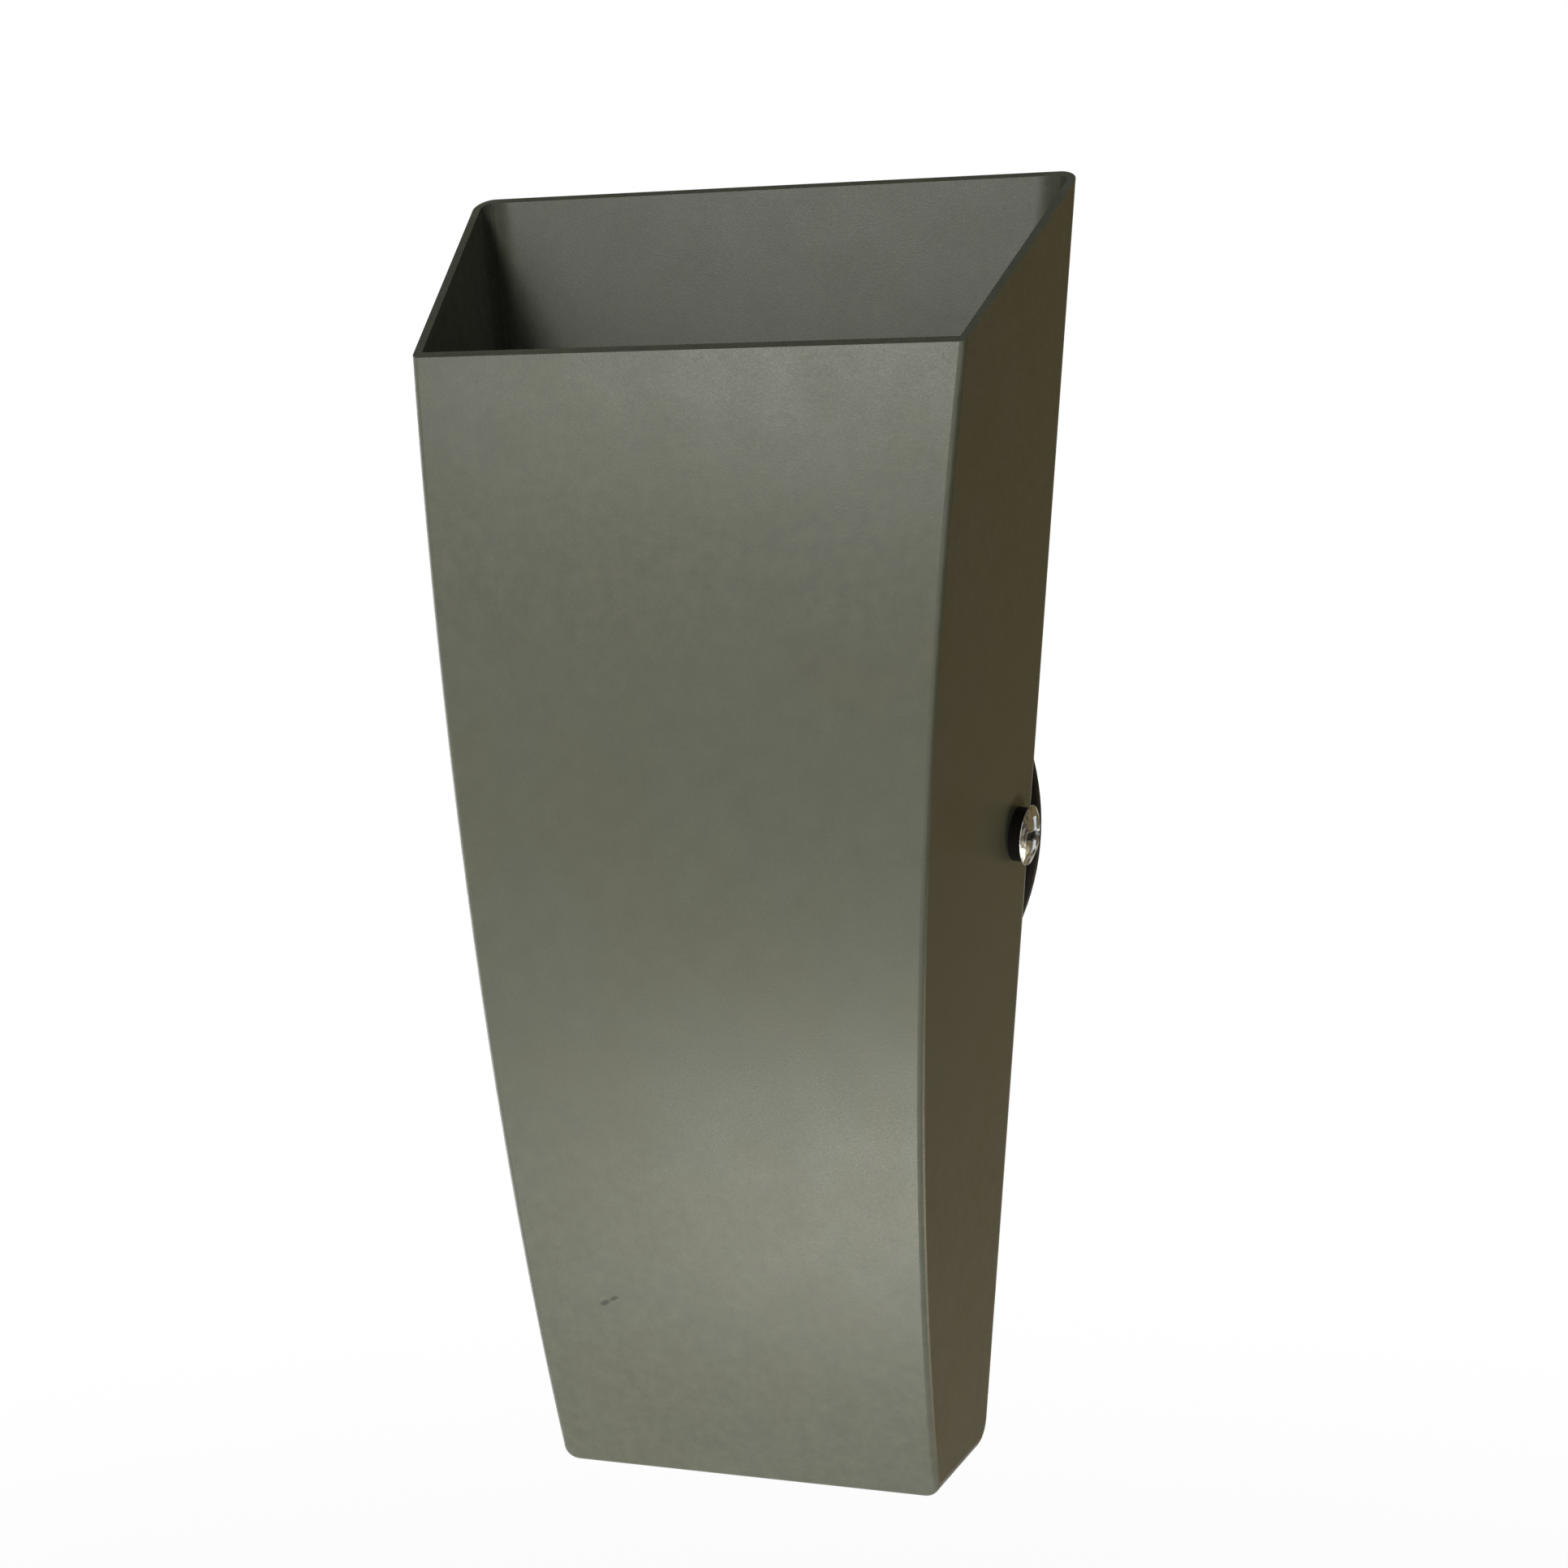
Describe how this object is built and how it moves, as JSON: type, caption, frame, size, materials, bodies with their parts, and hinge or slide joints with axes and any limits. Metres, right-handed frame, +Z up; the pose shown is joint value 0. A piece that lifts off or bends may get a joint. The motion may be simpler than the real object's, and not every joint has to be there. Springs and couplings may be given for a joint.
{
  "type": "wall lamp",
  "caption": "Tall tapered metal wall lamp with a bulged front, a closed rounded foot and an oblique open top, held by side screws over a round wall plate.",
  "frame": {"origin": "centre of the wall plate on the wall plane, level with the two side screws", "axes": "+Z up, -Y out of the wall into the room, +X to the right seen from the room"},
  "size_m": [0.1156, 0.0626, 0.24],
  "materials": {
    "plate_paint": "black satin paint",
    "zinc_steel": "zinc plated",
    "rivet_aluminium": "plain",
    "holder_ceramic": "unglazed",
    "contact_brass": "plain",
    "zinc_screw": "zinc plated",
    "terminal_nylon": "moulded",
    "earth_brass": "plain",
    "lug_tin": "tinned",
    "live_sleeve": "braided glass sleeve",
    "neutral_sleeve": "braided glass sleeve",
    "earth_sleeve": "green and yellow sleeve",
    "grommet_rubber": "moulded",
    "lamp_ceramic": "unglazed",
    "lamp_glass": "clear",
    "pin_steel": "drawn wire",
    "filament_metal": "coiled wire",
    "shade_metal": "satin, blasted",
    "washer_nylon": "moulded",
    "screw_steel": "bright"
  },
  "bodies": {
    "root": {"wall_plate": "plate_paint", "bracket": "zinc_steel", "bracket_rivets": "rivet_aluminium", "angle_rivets": "rivet_aluminium", "holder_bracket": "zinc_steel", "lampholder_body": "holder_ceramic", "lampholder_contacts": "contact_brass", "lampholder_screws": "zinc_screw", "lampholder_nuts": "zinc_screw", "terminal_housing": "terminal_nylon", "terminal_tubes": "contact_brass", "terminal_screws": "zinc_screw", "terminal_fixing_screw": "zinc_screw", "terminal_fixing_nut": "zinc_screw", "earth_screw": "earth_brass", "earth_washer": "zinc_screw", "earth_lug": "lug_tin", "live_lead": "live_sleeve", "neutral_lead": "neutral_sleeve", "earth_lead": "earth_sleeve", "cable_grommet": "grommet_rubber"},
    "lamp": {"lamp_base": "lamp_ceramic", "lamp_glass": "lamp_glass", "lamp_pins": "pin_steel", "lamp_filament": "filament_metal"},
    "shade_body": {"shade": "shade_metal", "side_nuts": "zinc_screw", "side_washers": "washer_nylon"},
    "screw_right": {"side_screw_right": "screw_steel"},
    "screw_left": {"side_screw_left": "screw_steel"}
  },
  "joints": [
    {"name": "shade_slide", "type": "slide", "parent": "root", "child": "shade_body", "axis": [0, -1, 0], "range_m": [0, 0.06]},
    {"name": "right_screw_out", "type": "slide", "parent": "shade_body", "child": "screw_right", "axis": [0.9871, -0.1422, -0.0732], "range_m": [0, 0.004]},
    {"name": "left_screw_out", "type": "slide", "parent": "shade_body", "child": "screw_left", "axis": [-0.9871, -0.1422, -0.0732], "range_m": [0, 0.004]},
    {"name": "lamp_pull", "type": "slide", "parent": "root", "child": "lamp", "axis": [0, 0, 1], "range_m": [0, 0.014]}
  ]
}
